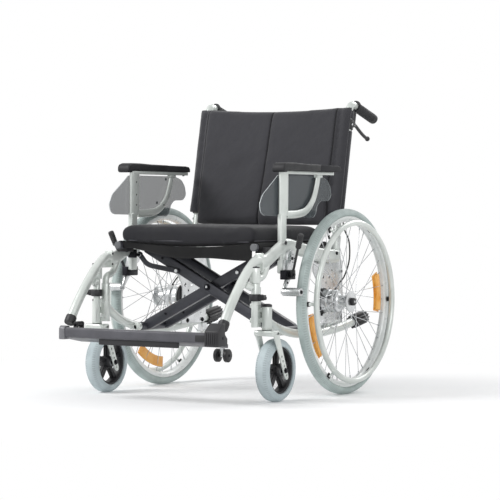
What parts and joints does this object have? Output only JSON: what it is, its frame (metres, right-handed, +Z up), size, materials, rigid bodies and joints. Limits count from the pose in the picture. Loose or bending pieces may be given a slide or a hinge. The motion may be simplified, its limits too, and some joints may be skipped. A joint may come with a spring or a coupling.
{
  "type": "folding wheelchair",
  "caption": "Extra-wide folding wheelchair with drum-brake rear wheels, spoked casters, swing-away leg rests, one-piece footboard, height-adjustable armrests and attendant handles.",
  "frame": {"origin": "bottom centre of the bounding box, on the floor", "axes": "+Z up, the sitter faces -Y, +X is the sitter's left"},
  "size_m": [0.8064, 1.066, 0.9717],
  "materials": {
    "frame_paint": "satin silver powder coat",
    "bright_metal": "brushed and polished",
    "brace_paint": "satin charcoal",
    "board_paint": "grained dark grey",
    "tyre_grey": "grey non-marking rubber",
    "black_plastic": "moulded, fine grain",
    "pad_foam": "soft moulded foam",
    "clear_panel": "translucent grey",
    "nylon": "woven nylon",
    "cable_sheath": "smooth black sheath"
  },
  "bodies": {
    "left_frame": {"side_frame_left": "frame_paint", "axle_plate_left": "bright_metal", "rear_axle_left": "bright_metal", "drum_brake_left": "black_plastic", "step_cap_left": "black_plastic", "back_cane_left": "frame_paint", "push_grip_left": "pad_foam", "lever_clamp_left": "black_plastic", "brake_cable_left": "cable_sheath", "back_upholstery": "nylon"},
    "right_frame": {"side_frame_right": "frame_paint", "axle_plate_right": "bright_metal", "rear_axle_right": "bright_metal", "drum_brake_right": "black_plastic", "step_cap_right": "black_plastic", "back_cane_right": "frame_paint", "push_grip_right": "pad_foam", "lever_clamp_right": "black_plastic", "brake_cable_right": "cable_sheath", "anti_tip_tube": "bright_metal"},
    "cross_arm_left": {"cross_arm_left": "brace_paint", "cross_bolt": "bright_metal"},
    "cross_arm_right": {"cross_arm_right": "brace_paint", "seat_sling": "nylon", "seat_cushion": "nylon"},
    "rear_wheel_left": {"rear_tyre_left": "tyre_grey", "rear_wheel_left": "bright_metal", "hand_rim_left": "frame_paint"},
    "caster_fork_left": {"caster_fork_left": "frame_paint"},
    "caster_wheel_left": {"caster_tyre_left": "tyre_grey", "caster_hub_left": "black_plastic"},
    "armrest_left": {"armrest_frame_left": "frame_paint", "arm_pad_left": "pad_foam", "side_panel_left": "clear_panel"},
    "legrest_left": {"legrest_tube_left": "frame_paint", "legrest_collar_left": "black_plastic"},
    "legrest_latch_left": {"legrest_latch_left": "black_plastic"},
    "brake_lever_left": {"brake_lever_left": "black_plastic"},
    "brake_shoe_left": {"brake_shoe_left": "bright_metal"},
    "attendant_lever_left": {"attendant_lever_left": "black_plastic"},
    "brace_link_left": {"brace_link_left": "brace_paint"},
    "rear_wheel_right": {"rear_tyre_right": "tyre_grey", "rear_wheel_right": "bright_metal", "hand_rim_right": "frame_paint"},
    "caster_fork_right": {"caster_fork_right": "frame_paint"},
    "caster_wheel_right": {"caster_tyre_right": "tyre_grey", "caster_hub_right": "black_plastic"},
    "armrest_right": {"armrest_frame_right": "frame_paint", "arm_pad_right": "pad_foam", "side_panel_right": "clear_panel"},
    "legrest_right": {"legrest_tube_right": "frame_paint", "legrest_collar_right": "black_plastic"},
    "legrest_latch_right": {"legrest_latch_right": "black_plastic"},
    "brake_lever_right": {"brake_lever_right": "black_plastic"},
    "brake_shoe_right": {"brake_shoe_right": "bright_metal"},
    "attendant_lever_right": {"attendant_lever_right": "black_plastic"},
    "brace_link_right": {"brace_link_right": "brace_paint"},
    "footboard": {"footboard": "board_paint", "footboard_latch": "black_plastic"},
    "anti_tip_wheels": {"anti_tip_wheels": "black_plastic"}
  },
  "joints": [
    {"name": "fold", "type": "hinge", "parent": "left_frame", "child": "cross_arm_left", "pos_m": [0.262, 0.18801, 0.215], "axis": [0, 1, 0], "range_deg": [0, 51.4], "deforming": ["back_upholstery", "seat_sling", "seat_cushion"]},
    {"name": "cross_bolt_turn", "type": "hinge", "parent": "cross_arm_left", "child": "cross_arm_right", "pos_m": [0, 0.18801, 0.35128], "axis": [0, 1, 0], "range_deg": [-103, 0]},
    {"name": "right_rod_turn", "type": "hinge", "parent": "cross_arm_right", "child": "right_frame", "pos_m": [-0.262, 0.18801, 0.215], "axis": [0, 1, 0], "range_deg": [0, 51.6]},
    {"name": "rear_wheel_spin_left", "type": "hinge", "parent": "left_frame", "child": "rear_wheel_left", "pos_m": [0.357, 0.18801, 0.305], "axis": [1, 0, 0], "continuous": true},
    {"name": "caster_swivel_left", "type": "hinge", "parent": "left_frame", "child": "caster_fork_left", "pos_m": [0.3235, -0.25999, 0.26], "axis": [0, 0, 1], "continuous": true},
    {"name": "caster_spin_left", "type": "hinge", "parent": "caster_fork_left", "child": "caster_wheel_left", "pos_m": [0.3235, -0.20399, 0.1], "axis": [1, 0, 0], "continuous": true},
    {"name": "armrest_height_left", "type": "slide", "parent": "left_frame", "child": "armrest_left", "axis": [0, 0, 1], "range_m": [0, 0.1]},
    {"name": "legrest_swing_left", "type": "hinge", "parent": "left_frame", "child": "legrest_left", "pos_m": [0.3, -0.29599, 0.39], "axis": [0, 0, 1], "range_deg": [0, 90]},
    {"name": "legrest_latch_turn_left", "type": "hinge", "parent": "left_frame", "child": "legrest_latch_left", "pos_m": [0.3, -0.29599, 0.331], "axis": [0, 0, 1], "range_deg": [0, 25], "stiffness_Nm_per_rad": 0.3, "springref_deg": -11.46},
    {"name": "parking_brake_left", "type": "hinge", "parent": "left_frame", "child": "brake_lever_left", "pos_m": [0.32, -0.09799, 0.398], "axis": [1, 0, 0], "range_deg": [0, 40]},
    {"name": "brake_shoe_slide_left", "type": "slide", "parent": "left_frame", "child": "brake_shoe_left", "axis": [0, 1, 0], "range_m": [0, 0.0055]},
    {"name": "attendant_brake_left", "type": "hinge", "parent": "left_frame", "child": "attendant_lever_left", "pos_m": [0.279, 0.37165, 0.893], "axis": [1, 0, 0], "range_deg": [0, 12], "stiffness_Nm_per_rad": 0.6, "springref_deg": -8.59},
    {"name": "brace_link_turn_left", "type": "hinge", "parent": "left_frame", "child": "brace_link_left", "pos_m": [0.262, -0.10099, 0.453], "axis": [0, 1, 0], "range_deg": [0, 98.16]},
    {"name": "rear_wheel_spin_right", "type": "hinge", "parent": "right_frame", "child": "rear_wheel_right", "pos_m": [-0.357, 0.18801, 0.305], "axis": [1, 0, 0], "continuous": true},
    {"name": "caster_swivel_right", "type": "hinge", "parent": "right_frame", "child": "caster_fork_right", "pos_m": [-0.3235, -0.25999, 0.26], "axis": [0, 0, 1], "continuous": true},
    {"name": "caster_spin_right", "type": "hinge", "parent": "caster_fork_right", "child": "caster_wheel_right", "pos_m": [-0.3235, -0.20399, 0.1], "axis": [1, 0, 0], "continuous": true},
    {"name": "armrest_height_right", "type": "slide", "parent": "right_frame", "child": "armrest_right", "axis": [0, 0, 1], "range_m": [0, 0.1]},
    {"name": "legrest_swing_right", "type": "hinge", "parent": "right_frame", "child": "legrest_right", "pos_m": [-0.3, -0.29599, 0.39], "axis": [0, 0, -1], "range_deg": [0, 90]},
    {"name": "legrest_latch_turn_right", "type": "hinge", "parent": "right_frame", "child": "legrest_latch_right", "pos_m": [-0.3, -0.29599, 0.331], "axis": [0, 0, -1], "range_deg": [0, 25], "stiffness_Nm_per_rad": 0.3, "springref_deg": -11.46},
    {"name": "parking_brake_right", "type": "hinge", "parent": "right_frame", "child": "brake_lever_right", "pos_m": [-0.32, -0.09799, 0.398], "axis": [1, 0, 0], "range_deg": [0, 40]},
    {"name": "brake_shoe_slide_right", "type": "slide", "parent": "right_frame", "child": "brake_shoe_right", "axis": [0, 1, 0], "range_m": [0, 0.0055]},
    {"name": "attendant_brake_right", "type": "hinge", "parent": "right_frame", "child": "attendant_lever_right", "pos_m": [-0.279, 0.37165, 0.893], "axis": [1, 0, 0], "range_deg": [0, 12], "stiffness_Nm_per_rad": 0.6, "springref_deg": -8.59},
    {"name": "brace_link_turn_right", "type": "hinge", "parent": "right_frame", "child": "brace_link_right", "pos_m": [-0.262, -0.10099, 0.453], "axis": [0, 1, 0], "range_deg": [-98.16, 0]},
    {"name": "footboard_flip", "type": "hinge", "parent": "legrest_right", "child": "footboard", "pos_m": [-0.258, -0.45499, 0.238], "axis": [0, -1, 0], "range_deg": [0, 90]},
    {"name": "anti_tip_spin", "type": "hinge", "parent": "right_frame", "child": "anti_tip_wheels", "pos_m": [-0.2915, 0.47201, 0.086], "axis": [1, 0, 0], "continuous": true}
  ],
  "couplings": [
    {"joint": "cross_bolt_turn", "follows": "fold", "ratio": -2},
    {"joint": "right_rod_turn", "follows": "fold", "ratio": 1},
    {"joint": "brake_shoe_slide_left", "follows": "parking_brake_left", "m_per_rad": 0.007735},
    {"joint": "brace_link_turn_left", "follows": "fold", "ratio": 1.9},
    {"joint": "brake_shoe_slide_right", "follows": "parking_brake_right", "m_per_rad": 0.007735},
    {"joint": "brace_link_turn_right", "follows": "fold", "ratio": -1.9}
  ]
}
